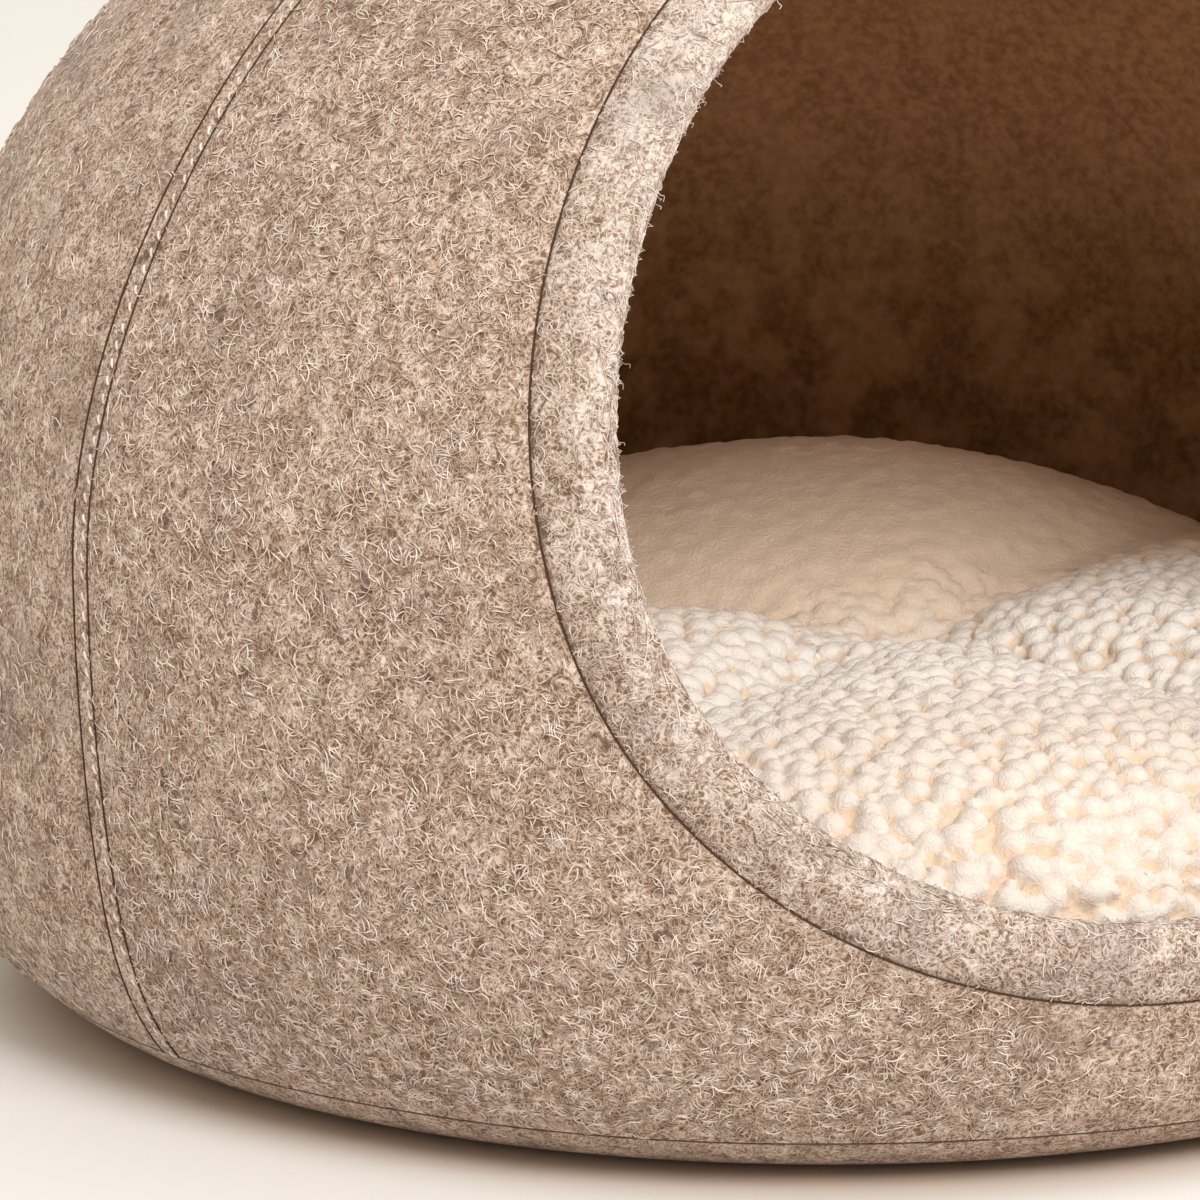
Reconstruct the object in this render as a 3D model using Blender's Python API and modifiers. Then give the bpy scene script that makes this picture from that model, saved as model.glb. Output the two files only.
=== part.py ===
"""Dome cave pet bed: a felt dome with a round mouth, a rolled rim and a tufted cushion inside.

The bed stands on the floor at z = 0 with its axis on Z, and its mouth faces -Y. Units are metres.
"""

import math

import bmesh
import bpy
from mathutils import Matrix, Vector

# Driving dimensions of the dome
DOME_RADIUS = 0.240
DOME_HEIGHT = 0.350
EQUATOR_HEIGHT = 0.144
FLAT_BASE_RADIUS = 0.180
LOWER_FULLNESS = 2.7
BASE_SEAM_HEIGHT = 0.012
FELT = 0.0045
LINING = 0.0015
GAP = 0.0003

# The side seams run up to the crown, this far round from the middle of the mouth
SIDE_SEAM_ANGLE = math.radians(75)
WELT_WIDTH = 0.0056
WELT_PROUD = 0.0009

# The mouth is cut square to an axis that looks slightly upwards
MOUTH_TILT = math.radians(11.3)
MOUTH_CENTRE_HEIGHT = 0.1525
MOUTH_RADIUS = 0.153
MOUTH_SQUASH = -0.0037
MOUTH_EGG = -0.0028
RIM_WIDTH = 0.0200
RIM_THICKNESS = 0.012
RIM_PROUD = 0.0008
# How boxy the roll's section is on its seam side and on its nose: 2 is an ellipse
RIM_SEAM_FULLNESS = 6
RIM_NOSE_FULLNESS = 2

# The cushion, with the tuft a little off its middle, as the photo shows it
CUSHION_CENTRE = Vector((0.006, -0.004))
CUSHION_RADIUS = 0.206
CUSHION_WAIST = 0.055
CUSHION_CROWN = 0.110
CUSHION_FULLNESS = 3.0
TUFT_PLACE = Vector((0.038, 0.008))
TUFT_DEPTH = 0.026
TUFT_SPREAD = 0.030
CREASE_DEPTH = 0.020
CREASE_WIDTH = 0.018
CREASE_FADE = 0.165
# Each lobe: the direction it lies in, from +X, and how far it rises above or below the crown
LOBES = (("right", 336, 0.004), ("back", 74, 0.025), ("left", 180, -0.001), ("front", 252, -0.006))
CREASE_ANGLES = (25, 145, 216, 288)

# Steps of the meshes
ROUND_STEPS = 48
LOWER_STEPS = 6
UPPER_STEPS = 11
BASE_STEPS = 4
MOUTH_STEPS = 72
RIM_STEPS = 14
CUSHION_ROUND_STEPS = 64
CUSHION_RISE_STEPS = 24
CUTTER_SIZE = 0.8
POLE_MERGE = 0.00005

for old in list(bpy.data.objects):
    bpy.data.objects.remove(old)

bed = bpy.data.collections.new("dome_cave_pet_bed")
cutters = bpy.data.collections.new("cutters")
for collection in (bed, cutters):
    bpy.context.scene.collection.children.link(collection)


def felt_finish(name, colour, roughness):
    """A matt textile finish: linear colour, roughness, no metal."""
    finish = bpy.data.materials.new(name)
    finish.use_nodes = True
    shader = finish.node_tree.nodes["Principled BSDF"]
    shader.inputs["Base Color"].default_value = (*colour, 1.0)
    shader.inputs["Roughness"].default_value = roughness
    shader.inputs["Metallic"].default_value = 0.0
    return finish


def place_piece(name, mesh, finish=None):
    """A visible piece of the bed, or a cutter when it has no finish."""
    piece = bpy.data.objects.new(name, mesh)
    if finish is None:
        cutters.objects.link(piece)
        piece.hide_render = True
        piece.display_type = "WIRE"
    else:
        bed.objects.link(piece)
        mesh.materials.append(finish)
    return piece


def mesh_of(shape, name, smooth=True):
    """The finished mesh of a bmesh, with its faces pointing out."""
    bmesh.ops.recalc_face_normals(shape, faces=shape.faces)
    mesh = bpy.data.meshes.new(name)
    shape.to_mesh(mesh)
    shape.free()
    if smooth and mesh.polygons:
        mesh.shade_smooth()
        mesh.set_sharp_from_angle(angle=math.radians(40))
    return mesh


def boolean(piece, operation, other):
    """Cuts or joins with the exact solver."""
    step = piece.modifiers.new(f"{operation.lower()}_{other.name}", "BOOLEAN")
    step.operation = operation
    step.object = other
    step.solver = "EXACT"


# The dome's outline, as radius and height


def signed_power(value, exponent):
    return math.copysign(abs(value) ** exponent, value)


def outline(turn):
    """A point of the outer outline: -1 at the edge of the flat base, 0 at the equator, 1 at the crown."""
    across = math.cos(turn * math.pi / 2)
    along = math.sin(turn * math.pi / 2)
    if turn >= 0:
        return Vector((DOME_RADIUS * across, EQUATOR_HEIGHT + (DOME_HEIGHT - EQUATOR_HEIGHT) * along))
    power = 2 / LOWER_FULLNESS
    radius = FLAT_BASE_RADIUS + (DOME_RADIUS - FLAT_BASE_RADIUS) * signed_power(across, power)
    return Vector((radius, EQUATOR_HEIGHT * (1 + signed_power(along, power))))


def inset(turn, depth):
    """The outline's point moved in square to the surface by the depth."""
    small = 0.002
    run = outline(min(turn + small, 1)) - outline(max(turn - small, -1))
    normal = Vector((run.y, -run.x)).normalized()
    if turn == 1:
        normal = Vector((0, 1))
    return outline(turn) - normal * depth


def turn_at(height):
    """Where the lower outline reaches a height."""
    along = (1 - height / EQUATOR_HEIGHT) ** (LOWER_FULLNESS / 2)
    return -math.asin(along) / (math.pi / 2)


def wall_radius(height):
    """The outer radius at a height."""
    if height >= EQUATOR_HEIGHT:
        rise = min((height - EQUATOR_HEIGHT) / (DOME_HEIGHT - EQUATOR_HEIGHT), 1)
        return DOME_RADIUS * math.sqrt(1 - rise**2)
    drop = (EQUATOR_HEIGHT - height) / EQUATOR_HEIGHT
    side = (1 - drop**LOWER_FULLNESS) ** (1 / LOWER_FULLNESS)
    return FLAT_BASE_RADIUS + (DOME_RADIUS - FLAT_BASE_RADIUS) * side


def rows(start, end, steps):
    return [start + (end - start) * step / steps for step in range(steps + 1)]


def turned(name, points, finish):
    """A closed solid of revolution whose profile runs out from the axis, down its outer side and back."""
    shape = bmesh.new()
    last = None
    for radius, height in points:
        corner = shape.verts.new((radius, 0, height))
        if last:
            shape.edges.new((last, corner))
        last = corner
    mesh = bpy.data.meshes.new(name)
    shape.to_mesh(mesh)
    shape.free()
    piece = place_piece(name, mesh, finish)
    screw = piece.modifiers.new("turn", "SCREW")
    screw.axis = "Z"
    screw.steps = ROUND_STEPS
    screw.render_steps = ROUND_STEPS
    screw.use_merge_vertices = True
    screw.merge_threshold = POLE_MERGE
    screw.use_smooth_shade = True
    return piece


def shell(name, turns, outer_depth, inner_depth, finish):
    """A dome-shaped wall between two depths below the outer outline."""
    outer = [inset(turn, outer_depth) for turn in reversed(turns)]
    inner = [inset(turn, inner_depth) for turn in turns]
    return turned(name, outer + inner, finish)


def box(name, size, middle, heading=0.0):
    """A box cutter, turned about Z by its heading."""
    shape = bmesh.new()
    place = Matrix.Translation(middle) @ Matrix.Rotation(heading, 4, "Z") @ Matrix.Diagonal((*size, 1))
    bmesh.ops.create_cube(shape, size=1, matrix=place)
    return place_piece(name, mesh_of(shape, name, smooth=False))


# Cutters that part the wall at the side seams


def seam_box(name, side, edge, behind):
    """All that lies behind, or in front of, one side seam. Side is 1 at +X and -1 at -X."""
    across = Vector((side * math.cos(SIDE_SEAM_ANGLE), math.sin(SIDE_SEAM_ANGLE), 0))
    reach = CUTTER_SIZE / 2
    middle = across * (edge + reach if behind else edge - reach)
    middle.z = DOME_HEIGHT / 2
    heading = side * (SIDE_SEAM_ANGLE - math.pi / 2)
    return box(name, (2 * CUTTER_SIZE, CUTTER_SIZE, CUTTER_SIZE), middle, heading)


def welt_slab(name, side):
    """The upright slab that a side seam's welt lies in, from the axis outwards."""
    outward = Vector((side * math.sin(SIDE_SEAM_ANGLE), -math.cos(SIDE_SEAM_ANGLE), 0))
    middle = outward * (CUTTER_SIZE / 4)
    middle.z = DOME_HEIGHT / 2
    heading = side * (SIDE_SEAM_ANGLE - math.pi / 2)
    return box(name, (CUTTER_SIZE / 2, WELT_WIDTH, CUTTER_SIZE), middle, heading)


slot = WELT_WIDTH / 2 + GAP
behind_right = seam_box("behind_right_seam", 1, -slot, True)
behind_left = seam_box("behind_left_seam", -1, -slot, True)
front_wedge = seam_box("front_wedge", 1, slot, False)
boolean(front_wedge, "INTERSECT", seam_box("front_of_left_seam", -1, slot, False))
welt_slot = welt_slab("welt_slot", 1)
boolean(welt_slot, "UNION", welt_slab("welt_slot_left", -1))

# The mouth's frame: its axis, the way up its plane, and +X across it
mouth_axis = Vector((0, -math.cos(MOUTH_TILT), math.sin(MOUTH_TILT)))
mouth_up = Vector((0, math.sin(MOUTH_TILT), math.cos(MOUTH_TILT)))
mouth_across = Vector((1, 0, 0))
mouth_centre = Vector((0, 0, MOUTH_CENTRE_HEIGHT))


def mouth_radius(angle):
    """The rim seam's distance from the mouth's axis. Angle 0 is the bottom of the mouth."""
    return MOUTH_RADIUS + MOUTH_SQUASH * math.cos(2 * angle) + MOUTH_EGG * math.cos(3 * angle)


def mouth_ray(angle, radius):
    return mouth_centre + radius * (mouth_across * math.sin(angle) - mouth_up * math.cos(angle))


def on_wall(angle, radius):
    """The point of the dome's outer surface at this place in the mouth's plane."""
    start = mouth_ray(angle, radius)
    near, far = 0.0, DOME_RADIUS * 1.5
    for _ in range(40):
        middle = (near + far) / 2
        point = start + mouth_axis * middle
        inside = 0 < point.z < DOME_HEIGHT and math.hypot(point.x, point.y) < wall_radius(point.z)
        near, far = (middle, far) if inside else (near, middle)
    return start + mouth_axis * near


def mouth_cutter(name, clearance):
    """A prism along the mouth's axis with the rim seam's outline."""
    shape = bmesh.new()
    bmesh.ops.create_cone(
        shape, cap_ends=True, segments=MOUTH_STEPS, radius1=1, radius2=1, depth=1
    )
    for corner in shape.verts:
        angle = math.atan2(corner.co.y, corner.co.x)
        reach = CUTTER_SIZE if corner.co.z > 0 else 0.0
        corner.co = mouth_ray(angle, mouth_radius(angle) + clearance) + mouth_axis * reach
    return place_piece(name, mesh_of(shape, name, smooth=False))


oatmeal = felt_finish("oatmeal_felt", (0.44, 0.33, 0.24), 0.95)
rim_oatmeal = felt_finish("rim_felt", (0.50, 0.38, 0.29), 0.92)
brown = felt_finish("brown_lining_felt", (0.115, 0.060, 0.030), 0.97)
cream = felt_finish("cream_curly_pile", (0.87, 0.78, 0.66), 0.95)

# Wall: two felt gores that meet at the side seams, the front one cut for the mouth
wall_turns = rows(turn_at(BASE_SEAM_HEIGHT + GAP), 0, LOWER_STEPS)[:-1] + rows(0, 1, UPPER_STEPS)
front_panel = shell("front_panel", wall_turns, 0, FELT, oatmeal)
boolean(front_panel, "DIFFERENCE", behind_right)
boolean(front_panel, "DIFFERENCE", behind_left)
boolean(front_panel, "DIFFERENCE", mouth_cutter("mouth_in_wall", 2 * GAP))

back_panel = shell("back_panel", wall_turns, 0, FELT, oatmeal)
boolean(back_panel, "DIFFERENCE", front_wedge)

# Welt: one strip sewn between the gores, from the base seam over the crown to the base seam
side_welt = shell("side_welt", wall_turns, -WELT_PROUD, FELT, oatmeal)
boolean(side_welt, "INTERSECT", welt_slot)

# Base: a felt round, flat on the floor, with its edge turned up to the seam
base_turns = rows(-1, turn_at(BASE_SEAM_HEIGHT), BASE_STEPS)
base_inside = [Vector((0, FELT))] + [inset(turn, FELT) for turn in base_turns]
base_outside = [inset(turn, 0) for turn in reversed(base_turns)] + [Vector((0, 0))]
base_panel = turned("base_panel", base_inside + base_outside, oatmeal)

# Lining: thin brown felt just inside the wall, from one row above the base seam to the crown
wall_lining = shell("wall_lining", wall_turns[1:], FELT + GAP, FELT + GAP + LINING, brown)
boolean(wall_lining, "DIFFERENCE", mouth_cutter("mouth_in_lining", 3 * GAP))

# Rim: a padded felt roll round the mouth, flush with the wall at its seam and round at its inner edge


def rim_point(angle, turn):
    """A point of the roll: angle goes round the mouth, turn goes round the roll's section."""
    seam = on_wall(angle, mouth_radius(angle))
    across = (seam - on_wall(angle, mouth_radius(angle) - RIM_WIDTH / 4)).normalized()
    outward = (mouth_axis - across * mouth_axis.dot(across)).normalized()
    half_depth = RIM_THICKNESS / 2
    level = (half_depth - RIM_PROUD) / half_depth
    seam_share = (1 - level**RIM_SEAM_FULLNESS) ** (1 / RIM_SEAM_FULLNESS)
    half_width = RIM_WIDTH / (1 + seam_share)
    middle = seam - across * (half_width * seam_share) - outward * (half_depth - RIM_PROUD)
    power = 2 / (RIM_SEAM_FULLNESS if math.cos(turn) > 0 else RIM_NOSE_FULLNESS)
    along = half_width * signed_power(math.cos(turn), power)
    rise = half_depth * signed_power(math.sin(turn), power)
    return middle + across * along + outward * rise


bpy.ops.mesh.primitive_torus_add(
    major_segments=MOUTH_STEPS, minor_segments=RIM_STEPS, major_radius=1, minor_radius=0.25
)
torus = bpy.context.object
shape = bmesh.new()
shape.from_mesh(torus.data)
bpy.data.objects.remove(torus)
for corner in shape.verts:
    angle = math.atan2(corner.co.y, corner.co.x)
    turn = math.atan2(corner.co.z, math.hypot(corner.co.x, corner.co.y) - 1)
    corner.co = rim_point(angle, turn)
rim_band = place_piece("rim_band", mesh_of(shape, "rim_band"), rim_oatmeal)

# Cushion: one filled round with four lobes, drawn down at a tuft


def crease_line(place, angle):
    """How near a place is to a crease: 1 on its line, 0 away from it and before the tuft."""
    run = place - TUFT_PLACE
    heading = Vector((math.cos(angle), math.sin(angle)))
    ahead = run.dot(heading)
    aside = abs(run.x * heading.y - run.y * heading.x)
    if ahead < 0:
        return 0.0
    fade = max(1 - (ahead / CREASE_FADE) ** 2, 0)
    return math.exp(-aside / CREASE_WIDTH) * fade


def lobe_rise(place):
    """How far a place stands above or below the crown, from the lobes, creases and tuft."""
    run = place - TUFT_PLACE
    heading = math.atan2(run.y, run.x)
    outward = min(run.length / (CUSHION_RADIUS / 2), 1)
    rise = 0.0
    for _name, direction, height in LOBES:
        facing = max(math.cos(heading - math.radians(direction)), 0) ** 2
        rise += height * facing * outward
    crease = max(crease_line(place, math.radians(angle)) for angle in CREASE_ANGLES)
    tuft = math.exp(-run.length / TUFT_SPREAD)
    return rise - max(CREASE_DEPTH * crease, TUFT_DEPTH * tuft)


def cushion_point(unit):
    """Moves a point of the unit sphere to the cushion's surface."""
    level = math.hypot(unit.x, unit.y)
    heading = math.atan2(unit.y, unit.x)
    out = signed_power(level, 2 / CUSHION_FULLNESS) * CUSHION_RADIUS
    place = CUSHION_CENTRE + Vector((math.cos(heading), math.sin(heading))) * out
    climb = abs(unit.z) ** (2 / CUSHION_FULLNESS)
    floor = FELT + GAP
    if unit.z < 0:
        return Vector((*place, CUSHION_WAIST - (CUSHION_WAIST - floor) * min(climb * 1.06, 1)))
    rise = lobe_rise(place) * min(climb * 1.5, 1)
    return Vector((*place, CUSHION_WAIST + (CUSHION_CROWN - CUSHION_WAIST) * climb + rise))


shape = bmesh.new()
bmesh.ops.create_uvsphere(
    shape, u_segments=CUSHION_ROUND_STEPS, v_segments=CUSHION_RISE_STEPS, radius=1
)
for corner in shape.verts:
    corner.co = cushion_point(corner.co.copy())
cushion = place_piece("cushion", mesh_of(shape, "cushion"), cream)
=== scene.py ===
"""Dome cave pet bed, dressed: felt walls, a padded rim, a brown lining and a curly cream cushion.

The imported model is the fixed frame. Units are metres, +Z is up, and the mouth faces -Y.
"""

import itertools
import math
import random

import bmesh
import bpy
from mathutils import Matrix, Vector
from mathutils.bvhtree import BVHTree
from mathutils.kdtree import KDTree


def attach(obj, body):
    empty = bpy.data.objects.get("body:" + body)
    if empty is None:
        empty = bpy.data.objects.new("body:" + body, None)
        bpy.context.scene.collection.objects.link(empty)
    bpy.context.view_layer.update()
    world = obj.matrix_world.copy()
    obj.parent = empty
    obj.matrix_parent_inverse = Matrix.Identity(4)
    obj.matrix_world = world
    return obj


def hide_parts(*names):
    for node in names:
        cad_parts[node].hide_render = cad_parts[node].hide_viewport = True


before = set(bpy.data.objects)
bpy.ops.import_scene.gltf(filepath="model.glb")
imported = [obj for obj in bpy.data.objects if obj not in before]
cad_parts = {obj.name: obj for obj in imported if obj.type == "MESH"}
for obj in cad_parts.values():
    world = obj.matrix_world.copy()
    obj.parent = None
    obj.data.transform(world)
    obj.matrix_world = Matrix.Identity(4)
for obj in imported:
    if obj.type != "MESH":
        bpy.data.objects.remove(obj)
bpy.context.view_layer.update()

# Camera: it stands to the left of the mouth and a little above it, with a long lens, where the
# photograph was taken from. Its square frame cuts the dome off at the top and on the right.
CAMERA_HEADING = math.radians(-24.138)
CAMERA_LOOK_DOWN = math.radians(11.997)
CAMERA_ROLL = math.radians(0.348)
CAMERA_AIM = Vector((0, 0, 0.15))
CAMERA_OFFSET = Vector((-0.05518, -0.04304, 1.9987))
CAMERA_LENS = 217.755

camera = bpy.data.objects.new("camera", bpy.data.cameras.new("camera"))
camera.data.lens = CAMERA_LENS
camera.data.sensor_width = 36
camera.data.clip_end = 60
camera_turn = (
    Matrix.Rotation(CAMERA_HEADING, 4, "Z")
    @ Matrix.Rotation(math.pi / 2 - CAMERA_LOOK_DOWN, 4, "X")
    @ Matrix.Rotation(CAMERA_ROLL, 4, "Z")
)
camera.matrix_world = Matrix.Translation(CAMERA_AIM + camera_turn @ CAMERA_OFFSET) @ camera_turn
bpy.context.scene.collection.objects.link(camera)
bpy.context.scene.camera = camera
bpy.context.scene.view_settings.view_transform = "Standard"

# Studio: a plain pale floor that runs to the horizon, with a painted shadow that makes it darker and
# browner right under the bed, one large soft light high in front of the mouth, a weaker one at the
# right, and pale light from all round.
FLOOR_SIZE = 14.0
FLOOR_DROP = 0.0002
# Each light: its name, place, power in watts and colour
LIGHTS = (
    ("key_light", Vector((0.0, -2.1, 2.2)), 56, (1.0, 0.995, 0.99)),
    ("right_light", Vector((2.4, -0.6, 1.2)), 17, (0.90, 0.96, 1.0)),
)
LIGHT_SIZE = 1.5
ROOM_LIGHT = 0.87


def place_piece(name, mesh):
    """A named object at the origin that holds a finished mesh."""
    piece = bpy.data.objects.new(name, mesh)
    bpy.context.scene.collection.objects.link(piece)
    return piece


def mesh_of(shape, name, sharp=40):
    """The mesh of a bmesh, smooth but for edges sharper than the angle in degrees."""
    mesh = bpy.data.meshes.new(name)
    shape.to_mesh(mesh)
    shape.free()
    mesh.shade_smooth()
    mesh.set_sharp_from_angle(angle=math.radians(sharp))
    return mesh


def node(tree, kind, inputs=None, **settings):
    """A shader node with its inputs set to values or linked to sockets."""
    made = tree.nodes.new(kind)
    for name, value in settings.items():
        setattr(made, name, value)
    for key, value in (inputs or {}).items():
        if isinstance(value, bpy.types.NodeSocket):
            tree.links.new(value, made.inputs[key])
        else:
            made.inputs[key].default_value = value
    return made


def finish_tree(name, roughness, specular=0.2):
    """A new material's tree and its shader, with the values that are the same all over."""
    finish = bpy.data.materials.new(name)
    finish.use_nodes = True
    shader = finish.node_tree.nodes["Principled BSDF"]
    shader.inputs["Roughness"].default_value = roughness
    shader.inputs["Specular IOR Level"].default_value = specular
    return finish, finish.node_tree, shader


def own_place(tree):
    """The place on the piece, in metres."""
    return node(tree, "ShaderNodeTexCoord").outputs["Object"]


def grain(tree, place, scale, detail=0.0, roughness=0.5):
    """Soft noise between 0 and 1."""
    settings = {"Vector": place, "Scale": scale, "Detail": detail, "Roughness": roughness}
    return node(tree, "ShaderNodeTexNoise", settings).outputs[0]


def ease(tree, value, low, high, start=0.0, end=1.0):
    """Start below the low value, end above the high one, and a smooth step between."""
    limits = {"Value": value, "From Min": low, "From Max": high, "To Min": start, "To Max": end}
    return node(tree, "ShaderNodeMapRange", limits, interpolation_type="SMOOTHSTEP").outputs[0]


def blend(tree, share, first, second):
    """The first colour, going over to the second as the share rises."""
    return node(tree, "ShaderNodeMix", {0: share, 6: first, 7: second}, data_type="RGBA").outputs[2]


floor_shape = bmesh.new()
bmesh.ops.create_grid(floor_shape, x_segments=8, y_segments=8, size=FLOOR_SIZE / 2)
bmesh.ops.translate(floor_shape, verts=floor_shape.verts, vec=(0, 0, -FLOOR_DROP))
floor = place_piece("floor", mesh_of(floor_shape, "floor"))
floor_finish, tree, shader = finish_tree("pale_floor", 0.6)
place = own_place(tree)
cloud = ease(tree, grain(tree, place, 1.5, 2), 0.35, 0.65)
colour = blend(tree, cloud, (0.82, 0.805, 0.795, 1), (0.83, 0.815, 0.805, 1))
reach = node(tree, "ShaderNodeVectorMath", {0: place}, operation="LENGTH").outputs["Value"]
colour = blend(tree, ease(tree, reach, 0.5, 1.6), colour, (0.91, 0.905, 0.90, 1))
# Painted contact shadow: darker and browner on the floor close under the bed
colour = blend(tree, ease(tree, reach, 0.238, 0.195), colour, (0.60, 0.48, 0.39, 1))
tree.links.new(colour, shader.inputs["Base Color"])
floor.data.materials.append(floor_finish)

for name, place, watts, colour in LIGHTS:
    light = bpy.data.objects.new(name, bpy.data.lights.new(name, "AREA"))
    light.data.shape = "DISK"
    light.data.size = LIGHT_SIZE
    light.data.energy = watts
    light.data.color = colour
    light.location = place
    light.rotation_euler = (CAMERA_AIM - place).to_track_quat("-Z", "Y").to_euler()
    bpy.context.scene.collection.objects.link(light)

room = bpy.data.worlds.new("room")
room.use_nodes = True
room.node_tree.nodes["Background"].inputs["Color"].default_value = (1.0, 0.935, 0.83, 1)
room.node_tree.nodes["Background"].inputs["Strength"].default_value = ROOM_LIGHT
bpy.context.scene.world = room

# Wall: two thick gores of needled wool felt, sewn together at the sides and over the crown. The
# front one is cut out round the mouth. The felt is a mottled oatmeal tangle of curly wool.
DOME_RADIUS = 0.240
DOME_HEIGHT = 0.350
EQUATOR_HEIGHT = 0.144
FLAT_BASE_RADIUS = 0.180
LOWER_FULLNESS = 2.7
BASE_SEAM_HEIGHT = 0.012
FELT = 0.0045
GAP = 0.0003
SIDE_SEAM_ANGLE = math.radians(75)
WELT_WIDTH = 0.0056
MOUTH_TILT = math.radians(11.3)
MOUTH_CENTRE_HEIGHT = 0.1525
MOUTH_RADIUS = 0.153
MOUTH_SQUASH = -0.0037
MOUTH_EGG = -0.0028
MOUTH_CLEARANCE = 0.0004
ROUND_STEPS = 192
LOWER_STEPS = 16
UPPER_STEPS = 34
MOUTH_STEPS = 180
CUTTER_SIZE = 0.8
POLE_MERGE = 0.00005
# The wall pushed out by the cushion low down at the left, and the felt's soft unevenness
BULGE = 0.009
BULGE_HEADING = math.radians(160)
BULGE_SPREAD = math.radians(24)
BULGE_HEIGHT = 0.036
UNEVEN = 0.0008
# Each wave of it: its share, its waves round the dome, its radians a metre upward, and its start
UNEVEN_WAVES = ((1, 3, 22, 0), (1, 5, -31, 1), (0.7, 9, 40, 2))
# It fades out within this distance of the dome's axis and of the floor
STILL_AT_AXIS = 0.08
STILL_AT_FLOOR = 0.02
# How often the search for the wall's surface halves its stretch
HALVINGS = 40

# The pieces that only cut, to be cleared away at the end
cutters = []


def outline(turn):
    """The outer outline's point: -1 at the flat base's edge, 0 at the equator, 1 at the crown."""
    across = math.cos(turn * math.pi / 2)
    along = math.sin(turn * math.pi / 2)
    if turn >= 0:
        return Vector((DOME_RADIUS * across, EQUATOR_HEIGHT + (DOME_HEIGHT - EQUATOR_HEIGHT) * along))
    power = 2 / LOWER_FULLNESS
    radius = FLAT_BASE_RADIUS + (DOME_RADIUS - FLAT_BASE_RADIUS) * max(across, 0) ** power
    return Vector((radius, EQUATOR_HEIGHT * (1 - (-along) ** power)))


def inset(turn, depth):
    """The outline's point moved in square to the surface by the depth."""
    small = 0.002
    run = outline(min(turn + small, 1)) - outline(max(turn - small, -1))
    normal = Vector((run.y, -run.x)).normalized()
    if turn == 1:
        normal = Vector((0, 1))
    return outline(turn) - normal * depth


def turn_at(height):
    """Where the lower outline reaches a height."""
    along = (1 - height / EQUATOR_HEIGHT) ** (LOWER_FULLNESS / 2)
    return -math.asin(along) / (math.pi / 2)


def wall_radius(height):
    """The outer radius at a height."""
    if height >= EQUATOR_HEIGHT:
        rise = min((height - EQUATOR_HEIGHT) / (DOME_HEIGHT - EQUATOR_HEIGHT), 1)
        return DOME_RADIUS * math.sqrt(1 - rise**2)
    drop = (EQUATOR_HEIGHT - height) / EQUATOR_HEIGHT
    side = (1 - drop**LOWER_FULLNESS) ** (1 / LOWER_FULLNESS)
    return FLAT_BASE_RADIUS + (DOME_RADIUS - FLAT_BASE_RADIUS) * side


def rows(start, end, steps):
    return [start + (end - start) * step / steps for step in range(steps + 1)]


def sewn_by_hand(place):
    """Moves a point of the wall by the bulge at the left and the felt's soft unevenness."""
    heading = math.atan2(place.y, place.x)
    outward = Vector((math.cos(heading), math.sin(heading), 0))
    away = (heading - BULGE_HEADING + math.pi) % (2 * math.pi) - math.pi
    low = max(place.z, 0) / BULGE_HEIGHT
    push = BULGE * math.exp(-((away / BULGE_SPREAD) ** 2)) * (low * math.exp(1 - low)) ** 2
    wave = sum(
        share * math.sin(around * heading + upward * place.z + start)
        for share, around, upward, start in UNEVEN_WAVES
    )
    off_axis = min(math.hypot(place.x, place.y) / STILL_AT_AXIS, 1)
    off_floor = min(max(place.z, 0) / STILL_AT_FLOOR, 1)
    return place + outward * (push + UNEVEN * wave * (off_axis * off_floor))


def turned(points, steps):
    """A closed shape of revolution from a profile that runs down its outer side and back up."""
    shape = bmesh.new()
    corners = [shape.verts.new((radius, 0, height)) for radius, height in points]
    for upper, lower in zip(corners, corners[1:]):
        shape.edges.new((upper, lower))
    bmesh.ops.spin(
        shape,
        geom=shape.verts[:] + shape.edges[:],
        cent=(0, 0, 0),
        axis=(0, 0, 1),
        angle=2 * math.pi,
        steps=steps,
        use_merge=True,
    )
    bmesh.ops.remove_doubles(shape, verts=shape.verts, dist=POLE_MERGE)
    bmesh.ops.recalc_face_normals(shape, faces=shape.faces)
    return shape


def shell(turns, outer_depth, inner_depth):
    """A dome-shaped wall between two depths below the outer outline."""
    outer = [inset(turn, outer_depth) for turn in reversed(turns)]
    inner = [inset(turn, inner_depth) for turn in turns]
    return turned(outer + inner, ROUND_STEPS)


def cutter_of(name, shape):
    """A piece that only cuts, in the list of those to be cleared away."""
    bmesh.ops.recalc_face_normals(shape, faces=shape.faces)
    cutters.append(place_piece(name, mesh_of(shape, name)))
    return cutters[-1]


def plain_box(name, size, middle, heading):
    """A box that cuts, turned about Z by its heading."""
    shape = bmesh.new()
    turned_place = Matrix.Translation(middle) @ Matrix.Rotation(heading, 4, "Z")
    bmesh.ops.create_cube(shape, size=1, matrix=turned_place @ Matrix.Diagonal((*size, 1)))
    return cutter_of(name, shape)


def add_cut(piece, operation, cutter):
    """Adds an exact cut to a piece and gives the piece back."""
    step = piece.modifiers.new(cutter.name, "BOOLEAN")
    step.operation = operation
    step.object = cutter
    step.solver = "EXACT"
    return piece


def worked_out(piece):
    """The mesh of a piece as its modifiers or its thickness leave it."""
    bpy.context.view_layer.update()
    return bpy.data.meshes.new_from_object(
        piece.evaluated_get(bpy.context.evaluated_depsgraph_get())
    )


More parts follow.
